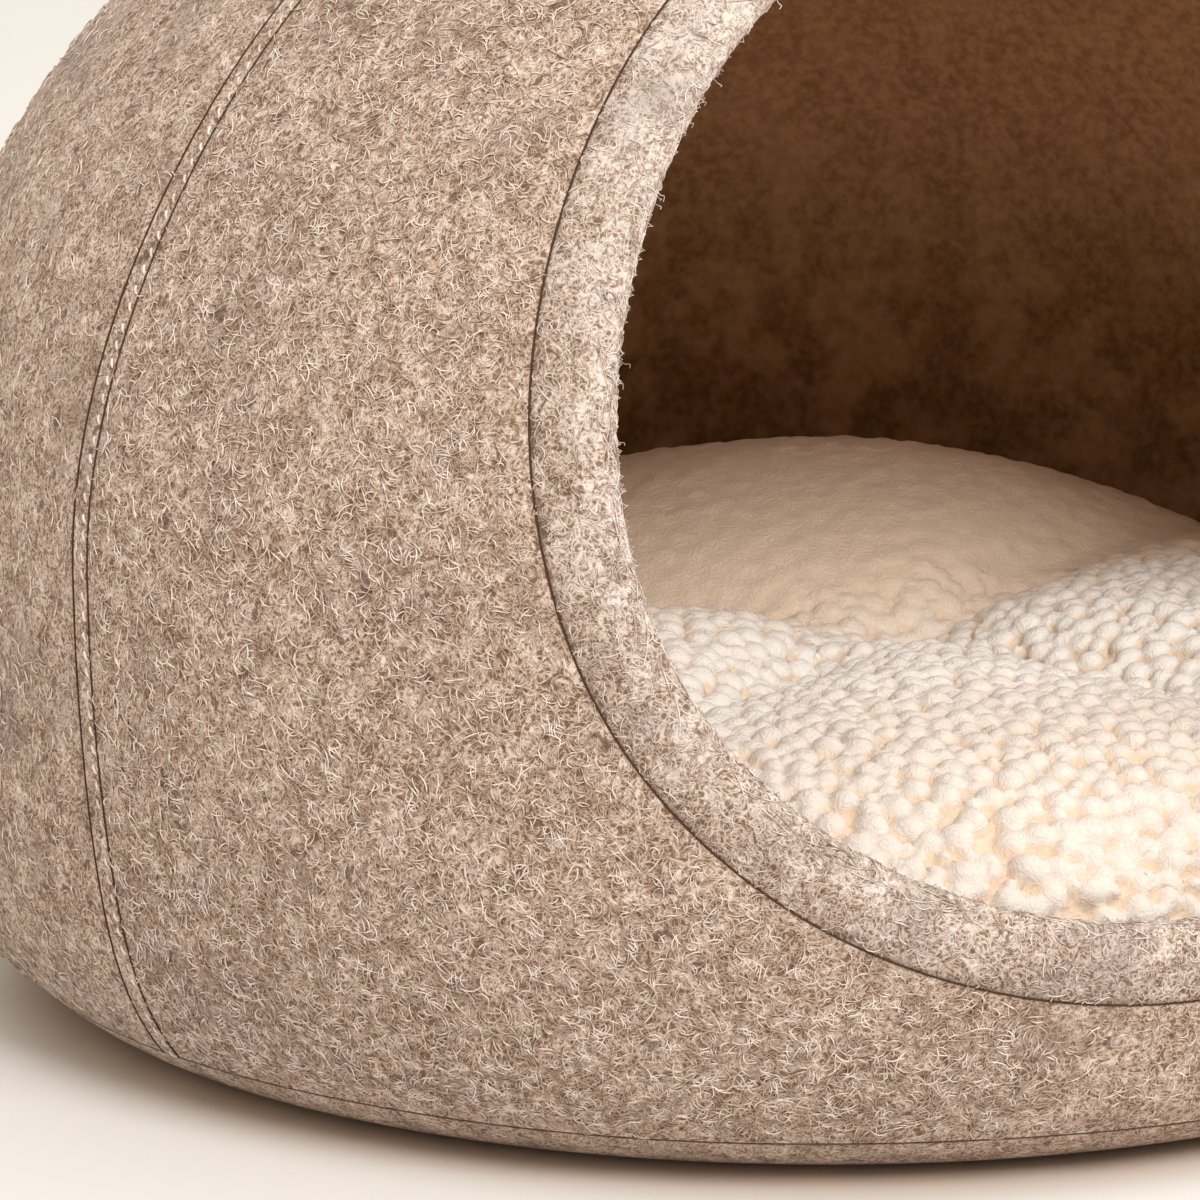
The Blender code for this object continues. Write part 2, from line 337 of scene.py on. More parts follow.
def cut_mesh(name, shape, *cuts):
    """The mesh of a shape after each (operation, cutter), moved by the hand-sewn unevenness."""
    piece = place_piece(name, mesh_of(shape, name))
    for operation, cutter in cuts:
        add_cut(piece, operation, cutter)
    mesh = worked_out(piece)
    bpy.data.objects.remove(piece)
    uneven = bmesh.new()
    uneven.from_mesh(mesh)
    bpy.data.meshes.remove(mesh)
    for corner in uneven.verts:
        corner.co = sewn_by_hand(corner.co)
    return mesh_of(uneven, name)


def seam_box(name, side, edge, behind):
    """All that lies behind, or in front of, one side seam. Side is 1 at +X and -1 at -X."""
    across = Vector((side * math.cos(SIDE_SEAM_ANGLE), math.sin(SIDE_SEAM_ANGLE), 0))
    reach = CUTTER_SIZE / 2
    middle = across * (edge + reach if behind else edge - reach)
    middle.z = DOME_HEIGHT / 2
    heading = side * (SIDE_SEAM_ANGLE - math.pi / 2)
    return plain_box(name, (2 * CUTTER_SIZE, CUTTER_SIZE, CUTTER_SIZE), middle, heading)


mouth_axis = Vector((0, -math.cos(MOUTH_TILT), math.sin(MOUTH_TILT)))
mouth_up = Vector((0, math.sin(MOUTH_TILT), math.cos(MOUTH_TILT)))
mouth_across = Vector((1, 0, 0))
mouth_centre = Vector((0, 0, MOUTH_CENTRE_HEIGHT))


def mouth_radius(angle):
    """The rim seam's distance from the mouth's axis. Angle 0 is the bottom of the mouth."""
    return MOUTH_RADIUS + MOUTH_SQUASH * math.cos(2 * angle) + MOUTH_EGG * math.cos(3 * angle)


def mouth_ray(angle, radius):
    return mouth_centre + radius * (mouth_across * math.sin(angle) - mouth_up * math.cos(angle))


def in_mouth(place, margin):
    """Whether a place of the wall lies within the mouth's cut or this near to it."""
    run = place - mouth_centre
    if run.dot(mouth_axis) < 0:
        return False
    angle = math.atan2(run.dot(mouth_across), -run.dot(mouth_up))
    distance = math.hypot(run.dot(mouth_across), run.dot(mouth_up))
    return distance < mouth_radius(angle) + margin


def on_wall(angle, radius):
    """The point of the dome's outer surface at this place in the mouth's plane."""
    start = mouth_ray(angle, radius)
    near, far = 0.0, DOME_RADIUS * 1.5
    for _ in range(HALVINGS):
        middle = (near + far) / 2
        point = start + mouth_axis * middle
        inside = 0 < point.z < DOME_HEIGHT and math.hypot(point.x, point.y) < wall_radius(point.z)
        near, far = (middle, far) if inside else (near, middle)
    return start + mouth_axis * near


def mouth_cutter(name, clearance):
    """A prism along the mouth's axis with the rim seam's outline."""
    shape = bmesh.new()
    bmesh.ops.create_cone(
        shape, cap_ends=True, segments=MOUTH_STEPS, radius1=1, radius2=1, depth=1
    )
    for corner in shape.verts:
        angle = math.atan2(corner.co.y, corner.co.x)
        reach = CUTTER_SIZE if corner.co.z > 0 else 0.0
        corner.co = mouth_ray(angle, mouth_radius(angle) + clearance) + mouth_axis * reach
    return cutter_of(name, shape)


def calc(tree, operation, first, second=0.0):
    return node(tree, "ShaderNodeMath", {0: first, 1: second}, operation=operation).outputs[0]


def part_of(tree, place, axis):
    """One part of a place: 0 is across, 1 is toward the back and 2 is up."""
    return node(tree, "ShaderNodeSeparateXYZ", {0: place}).outputs[axis]


def carried(tree, name):
    """The value that the mesh carries under this name."""
    return node(tree, "ShaderNodeAttribute", attribute_name=name).outputs["Fac"]


def raised(tree, shader, height, strength, distance):
    """Gives the surface a fine relief from a height between 0 and 1."""
    relief = {"Strength": strength, "Distance": distance, "Height": height}
    tree.links.new(node(tree, "ShaderNodeBump", relief).outputs[0], shader.inputs["Normal"])


def curls(tree, place, shift, scale):
    """A tangle of curly ridges, near 0 in the hollows and above 1 along the hairs."""
    moved = node(tree, "ShaderNodeVectorMath", {0: place, 1: shift}, operation="ADD").outputs[0]
    ridges = {"Scale": scale, "Detail": 1, "Distortion": 2.1, "Offset": 0.9, "Gain": 2}
    settings = {"noise_type": "RIDGED_MULTIFRACTAL"}
    return node(tree, "ShaderNodeTexNoise", {"Vector": moved, **ridges}, **settings).outputs[0]


# Each layer of the tangle: its scale and its shift in the pattern
TANGLE = ((200, (0, 0, 0)), (260, (0.3, 0.6, 0.1)), (320, (0.7, 0.2, 0.5)))
FLECK = (0.105, 0.055, 0.034, 1)
# Painted shadow for the seam grooves, used in the felt and for the dark strands laid in them
PAINTED_GROOVE_SHADOW = (0.085, 0.045, 0.026, 1)
BASE_GROOVE = 0.0003


def base_seam_shadow(tree, place):
    """1 in the groove at the base seam, where the felt is drawn in and shade is painted dark."""
    above = calc(tree, "SUBTRACT", part_of(tree, place, 2), BASE_SEAM_HEIGHT)
    away = calc(tree, "ABSOLUTE", above)
    return ease(tree, away, BASE_GROOVE * 0.6, BASE_GROOVE * 1.6, 1, 0)


def rim_seam_shadow(tree, _place):
    """1 in the groove on the seam side of the rolled rim, where shade is painted dark."""
    return ease(tree, carried(tree, "nose"), 0.010, 0.05, 1, 0)


def felt(name, dark, ground, pale, shade, grooves, patches, brushed=0.0):
    """Needled wool: a tangle of pale curls over a darker ground, in clumps, with darker patches, and
    painted shade in the seam grooves.

    Brushed raises the share of pale wool where the attribute nose rises: the lip is partly brushed
    paler and partly carries a painted highlight, and the roll's seam side gets painted shade. Toward
    the top it adds painted light.
    """
    finish, tree, shader = finish_tree(name, 0.88)
    shader.inputs["Sheen Weight"].default_value = 0.15
    place = own_place(tree)
    layers = [ease(tree, curls(tree, place, shift, scale), 0.5, 1.3) for scale, shift in TANGLE]
    wool = calc(tree, "MAXIMUM", calc(tree, "MAXIMUM", layers[0], layers[1]), layers[2])
    clumps = ease(tree, grain(tree, place, 110, 3, 0.65), 0.3, 0.7, -0.14, 0.14)
    level = calc(tree, "ADD", calc(tree, "MULTIPLY", wool, 0.85), clumps)
    # Partly brushed wool, partly painted light and shade: paler with a painted highlight toward the
    # lip, painted shade on the seam side, painted light toward the top
    if brushed:
        brushed_lip_and_painted_roll_shade = ease(tree, carried(tree, "nose"), 0.0, 0.7, -0.16, brushed)
        level = calc(tree, "ADD", level, brushed_lip_and_painted_roll_shade)
        painted_light_toward_top = ease(tree, part_of(tree, place, 2), 0.20, 0.29, 0, 0.20)
        level = calc(tree, "ADD", level, painted_light_toward_top)
    colour = blend(tree, ease(tree, level, 0.0, 0.5), dark, ground)
    colour = blend(tree, ease(tree, level, 0.35, 1.0), colour, pale)
    patch = ease(tree, grain(tree, place, 36, 3, 0.6), 0.48, 0.70)
    colour = blend(tree, calc(tree, "MULTIPLY", patch, patches), colour, shade)
    fleck = ease(tree, grain(tree, place, 260, 1), 0.64, 0.73)
    colour = blend(tree, calc(tree, "MULTIPLY", fleck, 0.3 if brushed else 0.7), colour, FLECK)
    # Painted shade in the seam grooves
    groove = calc(tree, "MULTIPLY", grooves(tree, place), 0.85)
    colour = blend(tree, groove, colour, PAINTED_GROOVE_SHADOW)
    tree.links.new(colour, shader.inputs["Base Color"])
    raised(tree, shader, level, 0.6, 0.0007)
    return finish


oatmeal = felt(
    "oatmeal_felt",
    (0.185, 0.106, 0.064, 1),
    (0.430, 0.296, 0.214, 1),
    (0.830, 0.706, 0.622, 1),
    (0.235, 0.160, 0.126, 1),
    base_seam_shadow,
    patches=0.38,
)

behind_right = seam_box("behind_right", 1, -(WELT_WIDTH / 2 + GAP), True)
behind_left = seam_box("behind_left", -1, -(WELT_WIDTH / 2 + GAP), True)
front_wedge = add_cut(
    seam_box("front_wedge", 1, WELT_WIDTH / 2 + GAP, False),
    "INTERSECT",
    seam_box("front_of_left", -1, WELT_WIDTH / 2 + GAP, False),
)
mouth_in_wall = mouth_cutter("mouth_in_wall", MOUTH_CLEARANCE)
wall_turns = rows(turn_at(BASE_SEAM_HEIGHT + GAP), 0, LOWER_STEPS)[:-1] + rows(0, 1, UPPER_STEPS)

front_felt = place_piece(
    "front_felt",
    cut_mesh(
        "front_felt",
        shell(wall_turns, 0, FELT),
        ("DIFFERENCE", behind_right),
        ("DIFFERENCE", behind_left),
        ("DIFFERENCE", mouth_in_wall),
    ),
)
back_felt = place_piece(
    "back_felt", cut_mesh("back_felt", shell(wall_turns, 0, FELT), ("DIFFERENCE", front_wedge))
)
for piece, stands_for in ((front_felt, "front_panel"), (back_felt, "back_panel")):
    piece.data.materials.append(oatmeal)
    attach(piece, "root")
    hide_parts(stands_for)

# Wool fibres: the felt's loose hairs, each a few millimetres long, curled and lying on the wall.
# They are needled in at both ends.
HAIR = 0.00021
HAIR_STEPS = 5
# How far a hair's ends are sunk in, and how thick it is near its ends and at them, as shares
HAIR_SUNK = 0.6
HAIR_ROOT = 0.45
HAIR_TIP = 0.4
# The least and the most: a hair's length, its curl in radians, and the lift of its middle
HAIR_LENGTHS = (0.0035, 0.0095)
HAIR_CURLS = (0.4, 3.6)
HAIR_LIFTS = (0.0001, 0.0007)
# How far the hairs stay away from the mouth's cut and from the welt
MOUTH_MARGIN = 0.0035
WELT_MARGIN = 0.002


def strands(name, paths, radius, finish):
    """One mesh of many thin three-sided strands. Each path is a list of (place, share of radius)."""
    section = bpy.data.curves.new(name + "_section", "CURVE")
    section.dimensions = "2D"
    ring = section.splines.new("POLY")
    ring.points.add(2)
    for step, point in enumerate(ring.points):
        angle = step * math.tau / 3
        point.co = (radius * math.cos(angle), radius * math.sin(angle), 0, 1)
    ring.use_cyclic_u = True
    section_ring = place_piece(name + "_section", section)
    threads = bpy.data.curves.new(name, "CURVE")
    threads.dimensions = "3D"
    threads.bevel_mode = "OBJECT"
    threads.bevel_object = section_ring
    threads.use_fill_caps = True
    for path in paths:
        thread = threads.splines.new("POLY")
        thread.points.add(len(path) - 1)
        thread.use_smooth = True
        for point, (place, share) in zip(thread.points, path):
            point.co = (*place, 1)
            point.radius = share
    lying = place_piece(name, threads)
    mesh = worked_out(lying)
    bpy.data.objects.remove(lying)
    bpy.data.objects.remove(section_ring)
    mesh.name = name
    mesh.materials.clear()
    mesh.materials.append(finish)
    return place_piece(name, mesh)


def surface_of(piece):
    """The piece's surface, for finding the nearest place on it."""
    shape = bmesh.new()
    shape.from_mesh(piece.data)
    tree = BVHTree.FromBMesh(shape)
    shape.free()
    return tree


def any_direction(draw):
    return Vector([draw.uniform(-1, 1) for _ in range(3)])


def hair_path(surface, start, direction, length, curl, lift, draw, steps=HAIR_STEPS):
    """A curled hair on a surface: its places with their share of the hair's thickness."""
    place, normal = surface.find_nearest(start)[:2]
    heading = (direction - normal * direction.dot(normal)).normalized()
    sway = draw.uniform(-0.5, 0.5) * curl
    path = []
    for step in range(steps + 1):
        along = step / steps
        bow = math.sin(math.pi * along)
        up = lift * bow - HAIR * HAIR_SUNK * (1 - bow)
        share = HAIR_ROOT + (1 - HAIR_ROOT) * bow**0.5 if 0 < step < steps else HAIR_TIP
        path.append((place + normal * up, share))
        turn = (curl + sway * math.cos(math.pi * along * 2)) / steps
        heading = Matrix.Rotation(turn, 3, normal) @ heading
        place, normal = surface.find_nearest(place + heading * (length / steps))[:2]
        heading = (heading - normal * heading.dot(normal)).normalized()
    return path


def dome_place(draw, turns, headings):
    """A random place on the dome, evenly spread between two turns and two headings."""
    while True:
        turn = draw.uniform(*turns)
        if draw.random() * DOME_RADIUS < outline(turn).x:
            break
    heading = draw.uniform(*headings)
    radius, height = outline(turn)
    return Vector((radius * math.cos(heading), radius * math.sin(heading), height))


def wall_hairs(name, wall, count, turns, headings, seed):
    """Hairs spread over a stretch of the wall, outside the mouth."""
    draw = random.Random(seed)
    surface = surface_of(wall)
    paths = []
    while len(paths) < count:
        start = dome_place(draw, turns, [math.radians(heading) for heading in headings])
        across = abs(start.x) * math.cos(SIDE_SEAM_ANGLE) + start.y * math.sin(SIDE_SEAM_ANGLE)
        if in_mouth(start, MOUTH_MARGIN) or abs(across) < WELT_WIDTH / 2 + WELT_MARGIN:
            continue
        direction = any_direction(draw)
        length = draw.uniform(*HAIR_LENGTHS)
        curl = draw.choice((-1, 1)) * draw.uniform(*HAIR_CURLS)
        lift = draw.uniform(*HAIR_LIFTS)
        paths.append(hair_path(surface, sewn_by_hand(start), direction, length, curl, lift, draw))
    hairs = strands(name, paths, HAIR, wool)
    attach(hairs, "root")
    return hairs


def wool_finish(name, dim, pale):
    """Wool hair: pale, with slow changes of tone from hair to hair."""
    finish, tree, shader = finish_tree(name, 0.7)
    tone = ease(tree, grain(tree, own_place(tree), 330, 1), 0.34, 0.66)
    tree.links.new(blend(tree, tone, dim, pale), shader.inputs["Base Color"])
    return finish


wool = wool_finish("wool_hair", (0.44, 0.31, 0.225, 1), (0.87, 0.755, 0.675, 1))
lowest_turn = wall_turns[1]
# Each stretch of hair: its name, wall, count, turns from low to high, headings in degrees, and seed
HAIR_STRETCHES = (
    ("front_hairs_low_left", front_felt, 5000, (lowest_turn, -0.05), (-166, -100), 11),
    ("front_hairs_high_left", front_felt, 5300, (-0.05, 0.97), (-166, -100), 12),
    ("front_hairs_right", front_felt, 2600, (lowest_turn, 0.97), (-100, -14), 13),
    ("back_hairs_left", back_felt, 2300, (lowest_turn, 0.97), (150, 194), 14),
    ("back_hairs", back_felt, 1900, (lowest_turn, 0.97), (-14, 150), 15),
)
front_hairs = []
back_hairs = []
for name, wall, count, turns, headings, seed in HAIR_STRETCHES:
    hairs = wall_hairs(name, wall, count, turns, headings, seed)
    (front_hairs if wall is front_felt else back_hairs).append(hairs)

# Welt: a narrow felt strip sewn between the two gores, from the base seam on one side over the
# crown to the other. A dark strand of painted shadow lies in the groove at each of its edges, and
# short pale stitches lie slanted in a row along its front edge.
WELT_PROUD = 0.0003
STITCH_STEP = 0.0050
STITCH_LENGTH = 0.0030
STITCH_THREAD = 0.00042
STITCH_INSET = 0.0011
STITCH_POINTS = 6
# How high a stitch's middle stands over the welt, and how far its ends dip below that
STITCH_RISE = 0.00030
STITCH_DIP = 0.0009
# The run before the first stitch, the turn of the outline at the last one, and the steps between
STITCH_START = 0.004
STITCH_END = 0.985
STITCH_SEARCH = 600
GROOVE_SHADOW_STRAND = 0.00045
GROOVE_END = 0.99
GROOVE_STEPS = 150


def seam_directions(side):
    """Outward at a side seam, and across the seam toward the front. Both lie flat."""
    outward = Vector((side * math.sin(SIDE_SEAM_ANGLE), -math.cos(SIDE_SEAM_ANGLE), 0))
    return outward, Vector((outward.y, -outward.x, 0)) * side


def welt_slab(name, side):
    """The upright slab that a side seam's welt lies in, from the axis outwards."""
    middle = seam_directions(side)[0] * (CUTTER_SIZE / 4)
    middle.z = DOME_HEIGHT / 2
    heading = side * (SIDE_SEAM_ANGLE - math.pi / 2)
    return plain_box(name, (CUTTER_SIZE / 2, WELT_WIDTH, CUTTER_SIZE), middle, heading)


welt_slot = add_cut(welt_slab("welt_slot", 1), "UNION", welt_slab("welt_slot_left", -1))
welt = place_piece(
    "welt_strip",
    cut_mesh("welt_strip", shell(wall_turns, -WELT_PROUD, FELT), ("INTERSECT", welt_slot)),
)
welt.data.materials.append(oatmeal)
welt_surface = surface_of(welt)
draw = random.Random(21)
stitches = []
for side in (1, -1):
    outward, across = seam_directions(side)
    run = STITCH_START
    last = outline(wall_turns[0])
    for turn in rows(wall_turns[0], STITCH_END, STITCH_SEARCH):
        point = outline(turn)
        run += (point - last).length
        last = point
        if run < STITCH_STEP:
            continue
        run -= STITCH_STEP * draw.uniform(0.9, 1.1)
        ahead = outline(min(turn + 0.01, 1)) - point
        rise = (outward * ahead.x + Vector((0, 0, ahead.y))).normalized()
        edge = across * (WELT_WIDTH / 2 - STITCH_INSET * draw.uniform(0.7, 1.3))
        middle = sewn_by_hand(outward * point.x + Vector((0, 0, point.y)) + edge)
        slant = (rise - across * draw.uniform(0.35, 0.65)).normalized()
        place, normal = welt_surface.find_nearest(middle)[:2]
        path = []
        for step in range(STITCH_POINTS):
            share = step / (STITCH_POINTS - 1) - 0.5
            lift = STITCH_RISE - STITCH_DIP * (2 * share) ** 4
            path.append((place + slant * (share * STITCH_LENGTH) + normal * lift, 1 - share**2))
        stitches.append(path)
stitch_wool = wool_finish("stitch_thread", (0.68, 0.55, 0.46, 1), (0.90, 0.80, 0.72, 1))
welt_stitches = strands("welt_stitches", stitches, STITCH_THREAD, stitch_wool)


def groove_path(side, aside, lift):
    """The line of a welt's groove from the base seam up to the crown."""
    outward, across = seam_directions(side)
    path = []
    for turn in rows(wall_turns[0], GROOVE_END, GROOVE_STEPS):
        radius, height = inset(turn, -lift)
        path.append((sewn_by_hand(outward * radius + across * aside + Vector((0, 0, height))), 1))
    return path


# Painted shadow: dark strands laid in the seam grooves stand for the shade there
groove_shadow_finish, tree, shader = finish_tree("painted_groove_shadow", 0.95, 0.05)
shader.inputs["Base Color"].default_value = PAINTED_GROOVE_SHADOW
welt_groove_shadows = []
# Each painted shadow strand: its name, and its place across the welt and over the wall's surface
for name, aside, lift in (
    ("welt_front_groove_shadow", WELT_WIDTH / 2 + GAP, 0.0),
    ("welt_back_groove_shadow", -WELT_WIDTH / 2 - 2 * GAP, 0.0001),
):
    lines = [groove_path(side, aside, lift) for side in (1, -1)]
    welt_groove_shadows.append(strands(name, lines, GROOVE_SHADOW_STRAND, groove_shadow_finish))
for piece in (welt, welt_stitches, *welt_groove_shadows):
    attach(piece, "root")
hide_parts("side_welt")

# Base: a round of the same felt that lies on the floor, with its edge turned up and sewn to the
# wall just above the floor.
BASE_STEPS = 8

base_turns = rows(-1, turn_at(BASE_SEAM_HEIGHT), BASE_STEPS)
base_inside = [Vector((0, FELT))] + [inset(turn, FELT) for turn in base_turns]
base_outside = [inset(turn, 0) for turn in reversed(base_turns)] + [Vector((0, 0))]
base_round = turned(base_inside + base_outside, ROUND_STEPS)
base = place_piece("base_felt", cut_mesh("base_felt", base_round))
base.data.materials.append(oatmeal)
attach(base, "root")
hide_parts("base_panel")

# Lining: thin dark brown felt that covers the wall's inside. It is cut to the dome's form and sewn
# in at the rim and at the base seam.
LINING = 0.0015
LINING_CLEARANCE = 0.0010

lining = place_piece(
    "brown_lining_felt",
    cut_mesh(
        "brown_lining_felt",
        shell(wall_turns[1:], FELT + GAP, FELT + GAP + LINING),
        ("DIFFERENCE", mouth_cutter("mouth_in_lining", LINING_CLEARANCE)),
    ),
)
brown, tree, shader = finish_tree("brown_lining_felt", 0.95)
place = own_place(tree)
lint = ease(tree, grain(tree, place, 300, 3, 0.6), 0.30, 0.70)
# Painted shade and light: the lining is darker low down by the cushion and paler toward the top of
# the cave
shaded_low_colour = blend(tree, lint, (0.17, 0.084, 0.030, 1), (0.28, 0.148, 0.058, 1))
lit_high_colour = blend(tree, lint, (0.40, 0.205, 0.092, 1), (0.62, 0.350, 0.182, 1))
high = ease(tree, part_of(tree, place, 2), 0.12, 0.23)
colour = blend(tree, high, shaded_low_colour, lit_high_colour)
cloud = ease(tree, grain(tree, place, 55, 3, 0.6), 0.42, 0.66)
colour = blend(tree, calc(tree, "MULTIPLY", cloud, 0.35), colour, (0.68, 0.41, 0.22, 1))
tree.links.new(colour, shader.inputs["Base Color"])
raised(tree, shader, lint, 0.4, 0.0006)
lining.data.materials.append(brown)
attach(lining, "root")
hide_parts("wall_lining")

# Rim: a felt band rolled round a foam cord and sewn to the wall's edge all round the mouth. Its
# inner edge is brushed paler, with a painted highlight and short curls of wool standing off it; the
# roll's seam side has painted shade and its top painted light.
RIM_WIDTH = 0.0200
RIM_THICKNESS = 0.012
RIM_PROUD = 0.0008
RIM_SEAM_FULLNESS = 6
RIM_NOSE_FULLNESS = 2
RIM_ROUND_STEPS = 288
RIM_SECTION_STEPS = 32


def signed_power(value, exponent):
    return math.copysign(abs(value) ** exponent, value)


def rim_point(angle, turn):
    """A point of the roll: angle goes round the mouth, turn goes round the roll's section."""
    seam = on_wall(angle, mouth_radius(angle))
    across = (seam - on_wall(angle, mouth_radius(angle) - RIM_WIDTH / 4)).normalized()
    outward = (mouth_axis - across * mouth_axis.dot(across)).normalized()
    half_depth = RIM_THICKNESS / 2
    level = (half_depth - RIM_PROUD) / half_depth
    seam_share = (1 - level**RIM_SEAM_FULLNESS) ** (1 / RIM_SEAM_FULLNESS)
    half_width = RIM_WIDTH / (1 + seam_share)
    middle = seam - across * (half_width * seam_share) - outward * (half_depth - RIM_PROUD)
    power = 2 / (RIM_SEAM_FULLNESS if math.cos(turn) > 0 else RIM_NOSE_FULLNESS)
    along = half_width * signed_power(math.cos(turn), power)
    rise = half_depth * signed_power(math.sin(turn), power)
    return middle + across * along + outward * rise


roll = bmesh.new()
section = bmesh.ops.create_circle(roll, segments=RIM_SECTION_STEPS, radius=0.25)["verts"]
bmesh.ops.rotate(roll, verts=section, cent=(0, 0, 0), matrix=Matrix.Rotation(math.pi / 2, 3, "X"))
bmesh.ops.translate(roll, verts=section, vec=(1, 0, 0))
bmesh.ops.spin(
    roll,
    geom=roll.verts[:] + roll.edges[:],
    cent=(0, 0, 0),
    axis=(0, 0, 1),
    angle=2 * math.pi,
    steps=RIM_ROUND_STEPS,
    use_merge=True,
)
nose = roll.verts.layers.float.new("nose")
for corner in roll.verts:
    angle = math.atan2(corner.co.y, corner.co.x)
    turn = math.atan2(corner.co.z, math.hypot(corner.co.x, corner.co.y) - 1)
    corner[nose] = 0.5 - 0.5 * math.cos(turn)
    corner.co = sewn_by_hand(rim_point(angle, turn))
bmesh.ops.recalc_face_normals(roll, faces=roll.faces)
rim = place_piece("rim_roll", mesh_of(roll, "rim_roll"))
rim_felt = felt(
    "rim_felt",
    (0.150, 0.088, 0.055, 1),
    (0.35, 0.245, 0.183, 1),
    (0.74, 0.640, 0.572, 1),
    (0.200, 0.138, 0.110, 1),
    rim_seam_shadow,
    patches=0.35,
    brushed=0.20,
)
rim.data.materials.append(rim_felt)
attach(rim, "root")
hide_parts("rim_band")

# Rim fibres: short curled hairs all over the roll, long ones that lie along its brushed lip, and
# small loops of fuzz that stand off the lip every few millimetres. A dark strand of painted shadow
# lies in the groove between the roll and the wall.
RIM_HAIRS = 2800
RIM_HAIR_LENGTHS = (0.0032, 0.0080)
RIM_HAIR_LIFTS = (0.0, 0.0004)
LIP_HAIRS = 170
LIP_HAIR_LENGTHS = (0.009, 0.022)
LIP_HAIR_CURLS = (-0.9, 0.9)
LIP_HAIR_LIFT = 0.0003
LIP_HAIR_STEPS = 12
# Where each kind starts on the roll's section, in half turns from its seam side
RIM_HAIR_TURNS = (0.30, 1.2)
LIP_HAIR_TURNS = (0.72, 1.0)
FUZZ_TURNS = (0.78, 1.15)
FUZZ_LOOPS = 650
FUZZ_THREAD = 0.00011
FUZZ_SPANS = (0.0014, 0.0028)
FUZZ_HEIGHTS = (0.0008, 0.0017)
FUZZ_LEANS = (-0.0005, 0.0005)
FUZZ_STEPS = 6
FUZZ_SUNK = 0.0002
FUZZ_ROUNDNESS = 0.22
# The share of loops that are loose ends, how much higher they stand, and their part of the arc
LOOSE_SHARE = 0.12
LOOSE_HEIGHT = 1.7
LOOSE_ARC = 0.6
RIM_SHADOW_STRAND = 0.00042
RIM_SHADOW_STRAND_STEPS = 360

rim_surface = surface_of(rim)
draw = random.Random(23)


def rim_groove(angle):
    """The groove between the wall and the roll at an angle round the mouth."""
    seam = on_wall(angle, mouth_radius(angle) + MOUTH_CLEARANCE / 2)
    return sewn_by_hand(seam)


# Painted shadow: a dark strand in the groove round the mouth stands for its shade
rim_painted_shadow = strands(
    "rim_groove_painted_shadow",
    [[(rim_groove(angle), 1) for angle in rows(0, math.tau, RIM_SHADOW_STRAND_STEPS)]],
    RIM_SHADOW_STRAND,
    groove_shadow_finish,
)
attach(rim_painted_shadow, "root")


def along_rim(angle, turn):
    """A place on the roll and the direction round the mouth there."""
    place = sewn_by_hand(rim_point(angle, turn))
    return place, (sewn_by_hand(rim_point(angle + 0.01, turn)) - place).normalized()


def fuzz_loop():
    """A small loop that stands off the roll, or now and then a loose curled end."""
    place, ahead = along_rim(draw.uniform(0, math.tau), math.pi * draw.uniform(*FUZZ_TURNS))
    place, normal = rim_surface.find_nearest(place)[:2]
    aside = normal.cross(ahead)
    ahead = (ahead + aside * draw.uniform(-0.9, 0.9)).normalized()
    loose = draw.random() < LOOSE_SHARE
    span = draw.uniform(*FUZZ_SPANS)
    height = draw.uniform(*FUZZ_HEIGHTS) * (LOOSE_HEIGHT if loose else 1.0)
    arc = LOOSE_ARC if loose else 1.0
    lean = aside * draw.uniform(*FUZZ_LEANS)
    path = []
    for step in range(FUZZ_STEPS + 1):
        share = step / FUZZ_STEPS
        up = height * math.sin(math.pi * share * arc) - FUZZ_SUNK * (1 - share)
        run = span * (share - 0.5 + FUZZ_ROUNDNESS * math.sin(math.tau * share))
        bow = lean * math.sin(math.pi * share)
        path.append((place + normal * up + ahead * run + bow, 1.0))
    return path


rim_paths = []
for _ in range(RIM_HAIRS):
    place, _ahead = along_rim(draw.uniform(0, math.tau), math.pi * draw.uniform(*RIM_HAIR_TURNS))
    direction = any_direction(draw)
    curl = draw.choice((-1, 1)) * draw.uniform(*HAIR_CURLS)
    length = draw.uniform(*RIM_HAIR_LENGTHS)
    lift = draw.uniform(*RIM_HAIR_LIFTS)
    rim_paths.append(hair_path(rim_surface, place, direction, length, curl, lift, draw))
lip_paths = []
for _ in range(LIP_HAIRS):
    place, ahead = along_rim(draw.uniform(0, math.tau), math.pi * draw.uniform(*LIP_HAIR_TURNS))
    curl = draw.uniform(*LIP_HAIR_CURLS)
    length = draw.uniform(*LIP_HAIR_LENGTHS)
    lip_paths.append(
        hair_path(rim_surface, place, ahead, length, curl, LIP_HAIR_LIFT, draw, LIP_HAIR_STEPS)
    )
pale_wool = wool_finish("pale_wool_hair", (0.44, 0.33, 0.26, 1), (0.80, 0.700, 0.630, 1))
for name, paths, thickness in (
    ("rim_hairs", rim_paths, HAIR),
    ("lip_hairs", lip_paths, HAIR),
    ("rim_fuzz", [fuzz_loop() for _ in range(FUZZ_LOOPS)], FUZZ_THREAD),
):
    hairs = strands(name, paths, thickness, pale_wool)
    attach(hairs, "root")

# Cushion: one round cover of cream curly pile, filled and drawn down off its middle, with four
# plump lobes between the folds that run out from the tuft.
CUSHION_CENTRE = Vector((0.006, -0.004))
CUSHION_RADIUS = 0.206
CUSHION_WAIST = 0.055
CUSHION_CROWN = 0.110
CUSHION_FULLNESS = 3.0
TUFT_PLACE = Vector((0.038, 0.008))
TUFT_DEPTH = 0.026
TUFT_SPREAD = 0.030
CREASE_DEPTH = 0.020
CREASE_WIDTH = 0.018
CREASE_FADE = 0.165
# The right, back, left and front lobe: its heading in degrees, and how high it stands
LOBES = ((336, 0.004), (74, 0.025), (180, -0.001), (252, -0.006))
CREASE_ANGLES = (25, 145, 216, 288)
